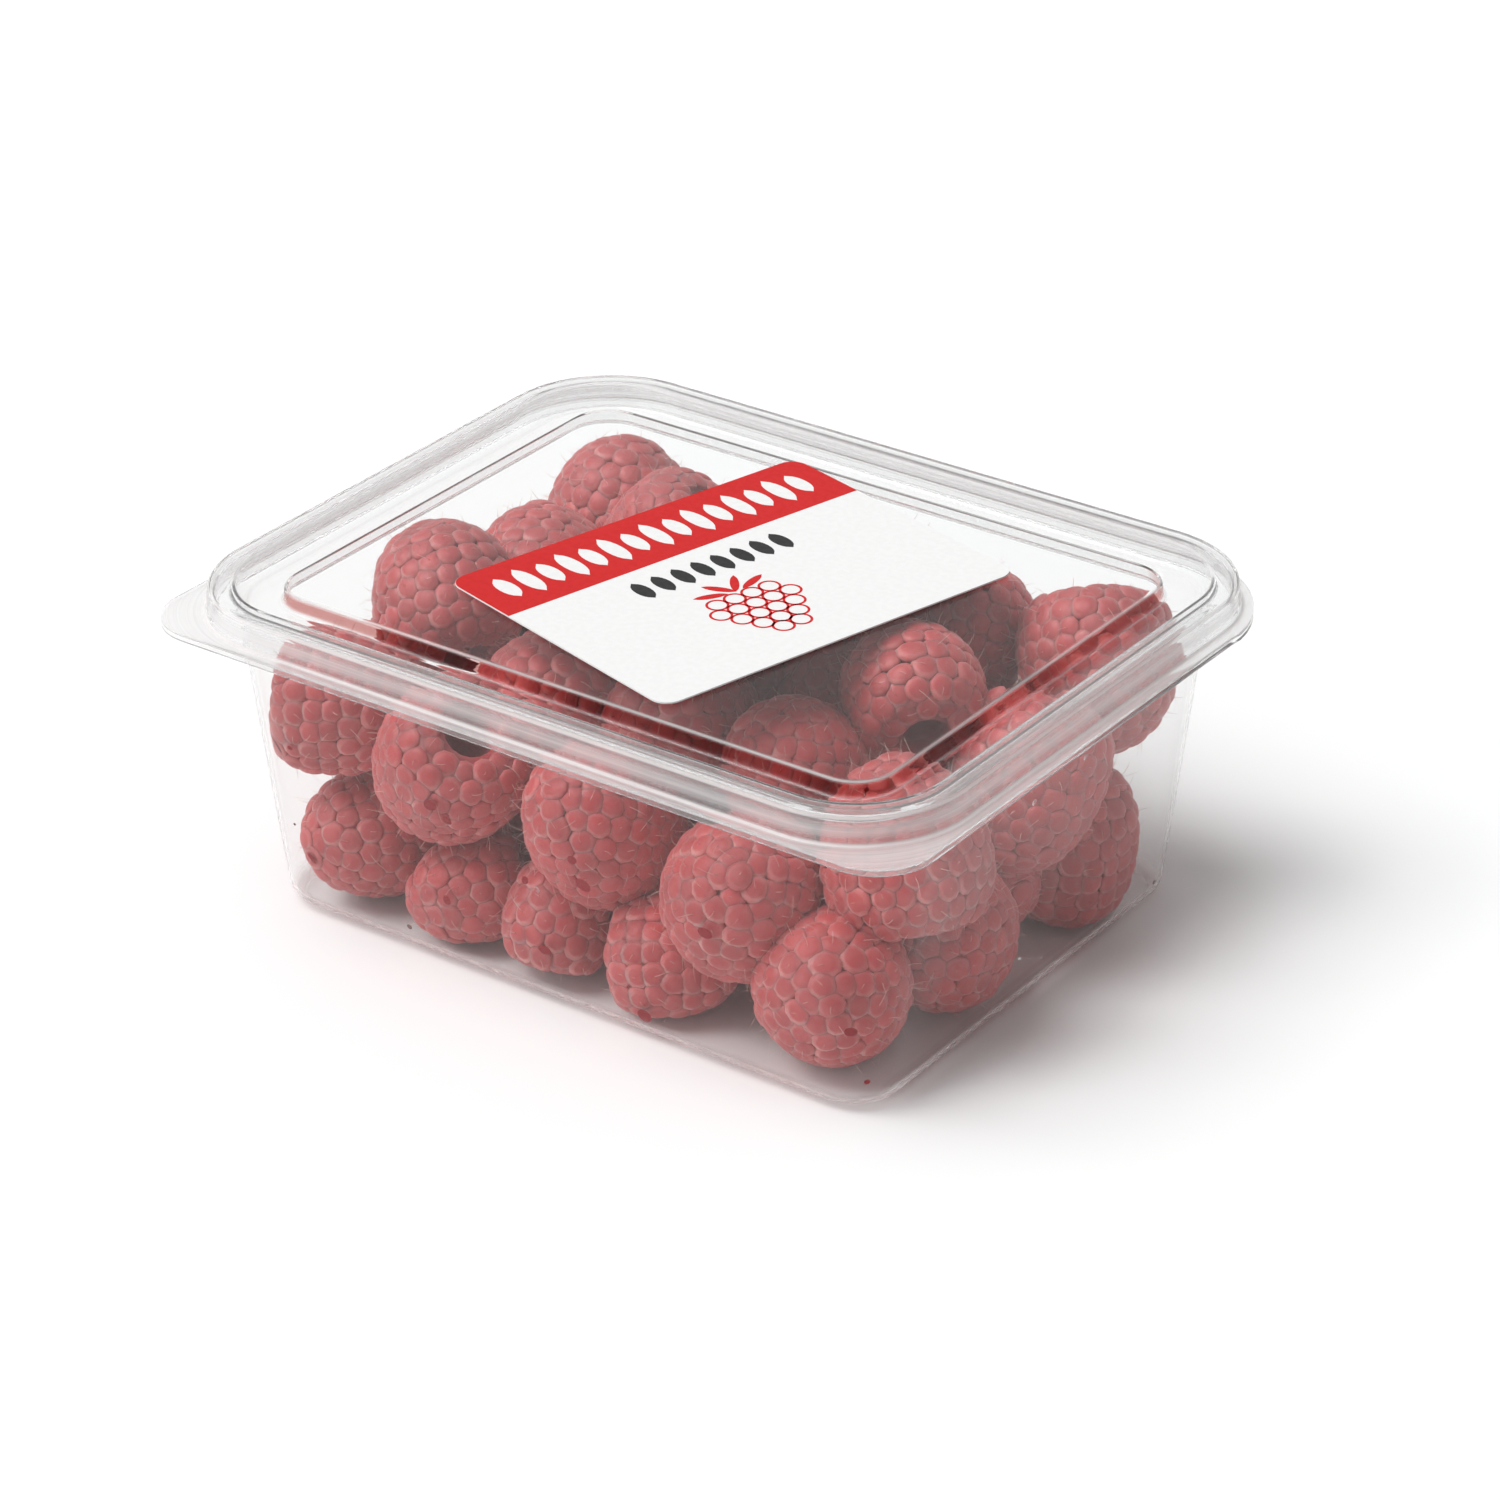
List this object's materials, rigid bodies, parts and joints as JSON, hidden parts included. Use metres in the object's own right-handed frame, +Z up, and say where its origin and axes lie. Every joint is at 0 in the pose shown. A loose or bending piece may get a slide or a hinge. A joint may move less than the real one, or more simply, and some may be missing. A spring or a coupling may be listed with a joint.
{
  "type": "punnet of raspberries",
  "caption": "Shut clear plastic punnet with tapered walls, a press-on lid with corner pull tabs and a paper label askew on it, filled with fresh raspberries.",
  "frame": {"origin": "middle of the tray's flat base, on the surface that the punnet stands on", "axes": "+Z up, +X along the long side, -Y towards the long side whose two lid corners reach out as pull tabs"},
  "size_m": [0.1442, 0.1158, 0.0575],
  "materials": {
    "clear_plastic": "thin clear formed sheet, glossy, slightly milky",
    "raspberry": null,
    "label_paper": "smooth coated paper, printed in red and black"
  },
  "bodies": {
    "root": {"tray": "clear_plastic", "lid": "clear_plastic", "raspberries": "raspberry", "label": "label_paper"}
  },
  "joints": []
}
